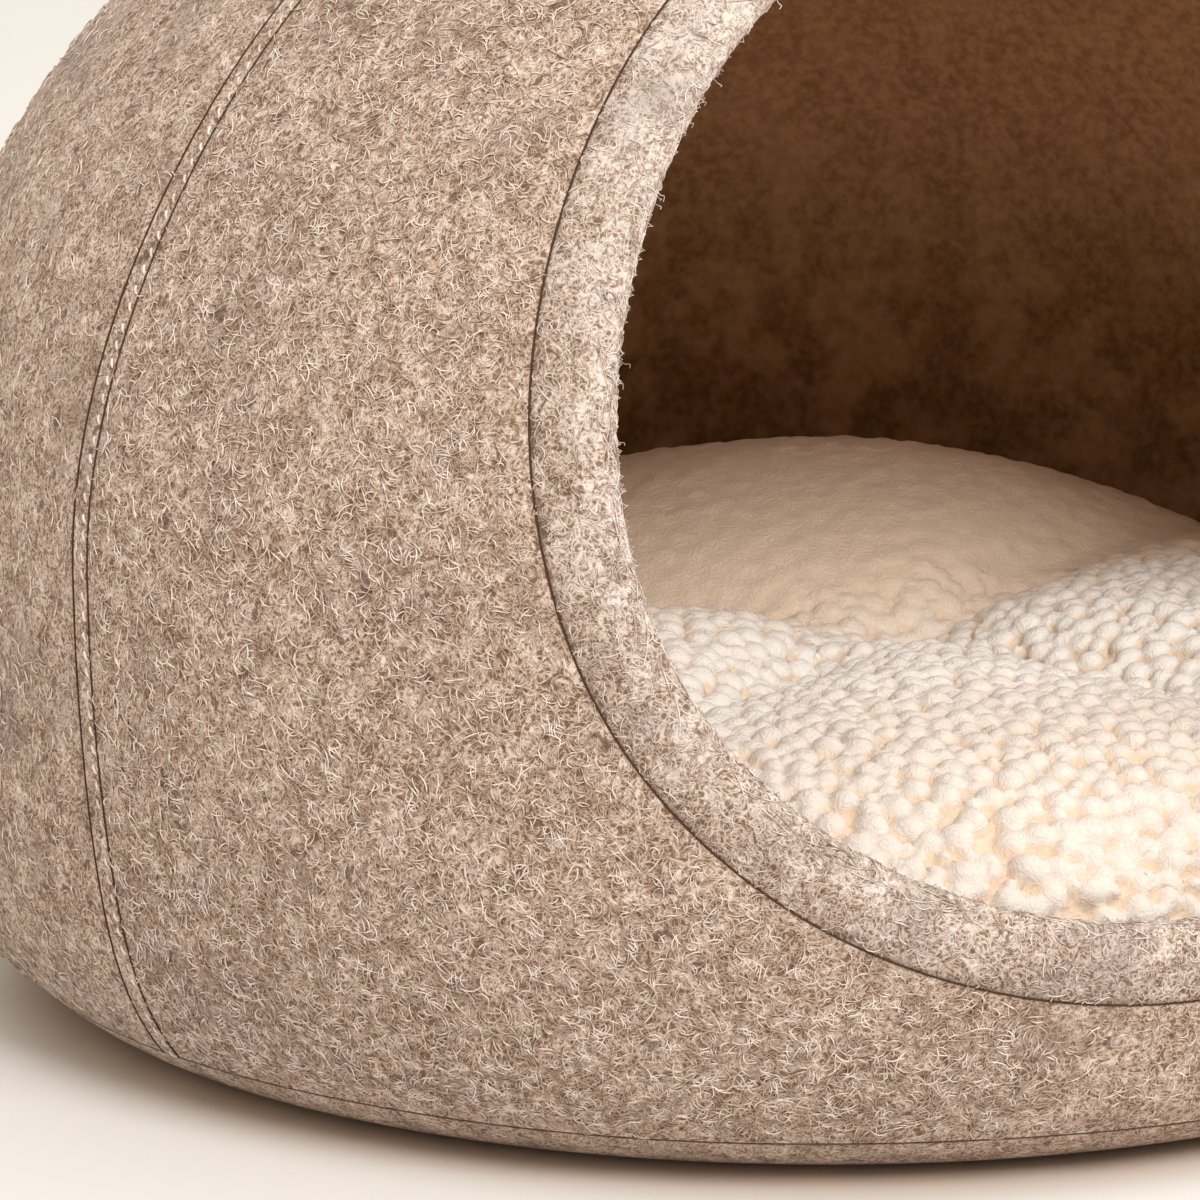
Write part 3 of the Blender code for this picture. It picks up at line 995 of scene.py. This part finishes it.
# How soon the underside lies flat, how soon the lobes rise over the waist, and the seams' hold
UNDERSIDE_FLAT = 1.06
LOBE_START = 1.5
SEAM_HOLD = 1.6
COVER_ROUND_STEPS = 160
COVER_UP_STEPS = 80
# The backing lies this far below the pile's outer surface, toward the mouth and at the back
PILE_DEPTH = 0.0045
BRUSHED_DEPTH = 0.0013
# Where the pile starts to be brushed flat, and over what run toward the back
WORN_FROM = -0.015
WORN_RUN = 0.065
# The cloth simulation that fills the cover out
CLOTH_VOXEL = 0.005
CLOTH_PRESSURE = 4
CLOTH_FRAMES = 20
CLOTH_SWELL = 0.0020
CLOTH_CAP = 0.0045


def worn(place):
    """How far the pile is brushed flat: 0 toward the mouth and 1 at the back."""
    return min(max((place.y - WORN_FROM) / WORN_RUN, 0), 1)


def pile_depth(place):
    return PILE_DEPTH + (BRUSHED_DEPTH - PILE_DEPTH) * worn(place)


def crease_line(place, angle):
    """How near a place is to a crease: 1 on its line, 0 away from it and before the tuft."""
    run = place - TUFT_PLACE
    heading = Vector((math.cos(angle), math.sin(angle)))
    ahead = run.dot(heading)
    aside = abs(run.x * heading.y - run.y * heading.x)
    if ahead < 0:
        return 0.0
    return math.exp(-aside / CREASE_WIDTH) * max(1 - (ahead / CREASE_FADE) ** 2, 0)


def seam_pull(place):
    """How strongly the creases and the tuft draw a place down, each from 0 to 1."""
    crease = max(crease_line(place, math.radians(angle)) for angle in CREASE_ANGLES)
    return crease, math.exp(-(place - TUFT_PLACE).length / TUFT_SPREAD)


def lobe_rise(place):
    """How far a place stands above or below the crown, from the lobes, creases and tuft."""
    run = place - TUFT_PLACE
    heading = math.atan2(run.y, run.x)
    outward = min(run.length / (CUSHION_RADIUS / 2), 1)
    rise = 0.0
    for direction, height in LOBES:
        facing = max(math.cos(heading - math.radians(direction)), 0) ** 2
        rise += height * facing * outward
    crease, tuft = seam_pull(place)
    return rise - max(CREASE_DEPTH * crease, TUFT_DEPTH * tuft)


def cushion_point(unit):
    """Moves a point of the unit sphere to the cushion's surface."""
    level = math.hypot(unit.x, unit.y)
    heading = math.atan2(unit.y, unit.x)
    out = signed_power(level, 2 / CUSHION_FULLNESS) * CUSHION_RADIUS
    place = CUSHION_CENTRE + Vector((math.cos(heading), math.sin(heading))) * out
    climb = abs(unit.z) ** (2 / CUSHION_FULLNESS)
    under = FELT + GAP
    if unit.z < 0:
        drop = (CUSHION_WAIST - under) * min(climb * UNDERSIDE_FLAT, 1)
        return Vector((*place, CUSHION_WAIST - drop))
    rise = lobe_rise(place) * min(climb * LOBE_START, 1)
    return Vector((*place, CUSHION_WAIST + (CUSHION_CROWN - CUSHION_WAIST) * climb + rise))


def sewn_down(place):
    """How firmly the cover is held: 1 at the tuft, along the creases and underneath."""
    if place.z <= CUSHION_WAIST / 2:
        return 1
    return min(max(seam_pull(Vector((place.x, place.y)))) * SEAM_HOLD, 1)


def fresh_mesh(piece):
    """Gives the piece the mesh that its modifiers leave, and takes the modifiers off."""
    mesh = worked_out(piece)
    piece.modifiers.clear()
    piece.data = mesh
    return mesh


def filled_out(piece, start):
    """Blows the cover up with the filling's pressure, held at its seams, in a cloth simulation."""
    held = piece.vertex_groups.new(name="sewn")
    for index, place in enumerate(start):
        held.add([index], sewn_down(place), "REPLACE")
    cloth = piece.modifiers.new("filling", "CLOTH")
    cloth.settings.use_pressure = True
    cloth.settings.uniform_pressure_force = CLOTH_PRESSURE
    cloth.settings.effector_weights.gravity = 0
    cloth.settings.vertex_group_mass = "sewn"
    cloth.point_cache.frame_end = CLOTH_FRAMES
    for moment in range(1, CLOTH_FRAMES + 1):
        bpy.context.scene.frame_set(moment)
    mesh = fresh_mesh(piece)
    for corner, place in zip(mesh.vertices, start):
        run = corner.co - place
        corner.co = place + run * min(1, CLOTH_CAP / max(run.length, 1e-6))
    bpy.context.scene.frame_set(1)
    piece.vertex_groups.clear()


cover = bmesh.new()
bmesh.ops.create_uvsphere(
    cover, u_segments=COVER_ROUND_STEPS, v_segments=COVER_UP_STEPS, radius=1
)
for corner in cover.verts:
    corner.co = cushion_point(corner.co.copy())
cover.normal_update()
for corner in cover.verts:
    if corner.co.z > CUSHION_WAIST / 2:
        corner.co -= corner.normal * (pile_depth(corner.co) + CLOTH_SWELL)
bmesh.ops.recalc_face_normals(cover, faces=cover.faces)
cushion = place_piece("curly_cushion", mesh_of(cover, "cushion_cover"))
even = cushion.modifiers.new("even_mesh", "REMESH")
even.mode = "VOXEL"
even.voxel_size = CLOTH_VOXEL
even_places = [corner.co.copy() for corner in fresh_mesh(cushion).vertices]
filled_out(cushion, even_places)

# Curly pile: tight round knots of cream yarn wherever the pile can show, set close with small ones
# between, and brushed flat toward the back. Their fine curly fuzz is relief in the finish.
# Each round of knots: the largest and smallest radius, and how many places are tried
KNOT_ROUNDS = ((0.0049, 0.0041, 14000), (0.0039, 0.0030, 14000), (0.0027, 0.0021, 18000))
# How close two knots may come, as a share of their radii, and how far each then spreads
KNOT_PACKING = 0.74
KNOT_SPREAD = 1.06
KNOT_ROUNDNESS = 0.50
KNOT_STRETCH = 0.22
# How far a knot may stand out, how uneven that is, and how much less at the back
KNOT_PROUD = 0.0008
KNOT_UNEVEN = 1.4
KNOT_PROUD_LOSS = 0.5
# The part of a knot's height that goes with its radius
KNOT_BY_SIZE = 0.45
# A knot's dimple: how far off its middle, how wide, and how deep, as shares
DIMPLE_AWAY = 0.4
DIMPLE_WIDTH = 0.3
DIMPLE_DEPTHS = (0, 0, 0.12, 0.2)
# The lowest knots, and the lowest ones in front of the line where the mouth shows more
KNOT_LOWEST = 0.072
KNOT_LOWEST_AT_MOUTH = 0.052
MOUTH_LINE = -0.10
KNOT_CELL = 0.013
KNOTS_NEAR = 5
# How softly one knot runs into the next, toward the mouth and at the back
KNOT_MERGE = 0.00014
BRUSHED_MERGE = 0.00035
# How finely the cover is cut up for the pile, and from where it needs fewer cuts
PILE_CUTS = 3
BRUSHED_CUTS = 1
BRUSHED_FROM = 0.035

draw = random.Random(31)


def piled(place):
    """Whether a place of the cover is so high that its pile can show."""
    return place.z > (KNOT_LOWEST_AT_MOUTH if place.y < MOUTH_LINE else KNOT_LOWEST)


def cell_of(place):
    return tuple(math.floor(value / KNOT_CELL) for value in place)


def clear_of(place, radius, taken):
    """Whether a knot of this radius finds room among those already placed."""
    cell = cell_of(place)
    for step in itertools.product((-1, 0, 1), repeat=3):
        for other, other_radius in taken.get(tuple(map(sum, zip(cell, step))), ()):
            if (other - place).length < KNOT_PACKING * (radius + other_radius):
                return False
    return True


def knot_rise(knot, place):
    """How high one knot stands over the backing at a place."""
    middle, radius, height, lean, stretch, dimple, dent = knot
    run = place - middle
    reach = max(run.length_squared - stretch * run.dot(lean) ** 2, 0) / radius**2
    if reach >= 1:
        return 0.0
    dip = math.exp(-(place - dimple).length_squared / (DIMPLE_WIDTH * radius) ** 2)
    return height * (1 - reach) ** KNOT_ROUNDNESS - dent * dip


cushion.data.calc_loop_triangles()
patches = [part for part in cushion.data.loop_triangles if piled(part.center)]
patch_areas = [part.area for part in patches]
taken = {}
knots = []
for largest, smallest, tries in KNOT_ROUNDS:
    for part in draw.choices(patches, weights=patch_areas, k=tries):
        first, second, third = (cushion.data.vertices[index].co for index in part.vertices)
        one, two = sorted((draw.random(), draw.random()))
        place = first * one + second * (two - one) + third * (1 - two)
        radius = draw.uniform(smallest, largest)
        if not clear_of(place, radius, taken):
            continue
        taken.setdefault(cell_of(place), []).append((place, radius))
        proud = KNOT_PROUD * draw.uniform(0, KNOT_UNEVEN) * (1 - KNOT_PROUD_LOSS * worn(place))
        by_size = 1 - KNOT_BY_SIZE + KNOT_BY_SIZE * radius / KNOT_ROUNDS[0][0]
        height = (pile_depth(place) + proud) * by_size
        lean = any_direction(draw).normalized()
        away = [draw.uniform(-DIMPLE_AWAY, DIMPLE_AWAY) * radius for _ in range(3)]
        dent = height * draw.choice(DIMPLE_DEPTHS)
        stretch = draw.uniform(0.0, KNOT_STRETCH)
        dimple = place + Vector(away)
        knots.append((place, radius * KNOT_SPREAD, height, lean, stretch, dimple, dent))
knot_finder = KDTree(len(knots))
for index, knot in enumerate(knots):
    knot_finder.insert(knot[0], index)
knot_finder.balance()

pile = bmesh.new()
pile.from_mesh(cushion.data)
for cuts, from_y, to_y in ((PILE_CUTS, -1, BRUSHED_FROM), (BRUSHED_CUTS, BRUSHED_FROM, 1)):
    chosen = {
        edge
        for face in pile.faces
        if piled(face.calc_center_median())
        and from_y <= face.calc_center_median().y < to_y
        and face.calc_area() > CLOTH_VOXEL**2 / 3
        for edge in face.edges
    }
    bmesh.ops.subdivide_edges(pile, edges=list(chosen), cuts=cuts, use_grid_fill=True)
pile.normal_update()
rise = pile.verts.layers.float.new("rise")
moves = []
for corner in pile.verts:
    if corner.co.z < KNOT_LOWEST_AT_MOUTH - CLOTH_VOXEL:
        continue
    merge = KNOT_MERGE + (BRUSHED_MERGE - KNOT_MERGE) * worn(corner.co)
    near = knot_finder.find_n(corner.co, KNOTS_NEAR)
    heights = [knot_rise(knots[index], corner.co) for _place, index, _distance in near]
    height = merge * math.log(sum(math.exp(value / merge) for value in heights) / len(heights))
    corner[rise] = max(height, 0) / pile_depth(corner.co)
    moves.append((corner, corner.normal * max(height, 0)))
for corner, move in moves:
    corner.co += move
bmesh.ops.recalc_face_normals(pile, faces=pile.faces)
fine_mesh = bpy.data.meshes.new("curly_cushion")
pile.to_mesh(fine_mesh)
pile.free()
cushion.data = fine_mesh
fine_mesh.shade_smooth()

cream, tree, shader = finish_tree("cream_curly_pile", 0.85)
shader.inputs["Sheen Weight"].default_value = 0.2
place = own_place(tree)
tone = ease(tree, grain(tree, place, 130, 2), 0.3, 0.7)
colour = blend(tree, tone, (0.950, 0.890, 0.820, 1), (0.965, 0.920, 0.860, 1))
behind = part_of(tree, place, 1)
# Painted shade: the pile is darker toward the mouth by the rim, and darker and browner at the back
# under the dome
colour = blend(tree, ease(tree, behind, -0.06, -0.14), colour, (0.80, 0.705, 0.635, 1))
colour = blend(tree, ease(tree, behind, -0.01, 0.04), colour, (0.87, 0.70, 0.54, 1))
# Painted shade in the hollows between the knots, a warm tan, weaker toward the back
hollow_shade_share = ease(tree, behind, -0.015, 0.05, 0.85, 0.3)
painted_hollow_shade = calc(tree, "MULTIPLY", ease(tree, carried(tree, "rise"), 0.68, 0.30), hollow_shade_share)
colour = blend(tree, painted_hollow_shade, colour, (0.79, 0.615, 0.455, 1))
tree.links.new(colour, shader.inputs["Base Color"])
fuzz = ease(tree, curls(tree, place, (0.2, 0.2, 0.2), 280), 0.3, 1.3)
raised(tree, shader, fuzz, 0.4, 0.0006)
fine_mesh.materials.append(cream)
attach(cushion, "root")
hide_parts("cushion")

# Closing: the cutters have done their work and are cleared away.
for cutter in cutters:
    bpy.data.objects.remove(cutter)
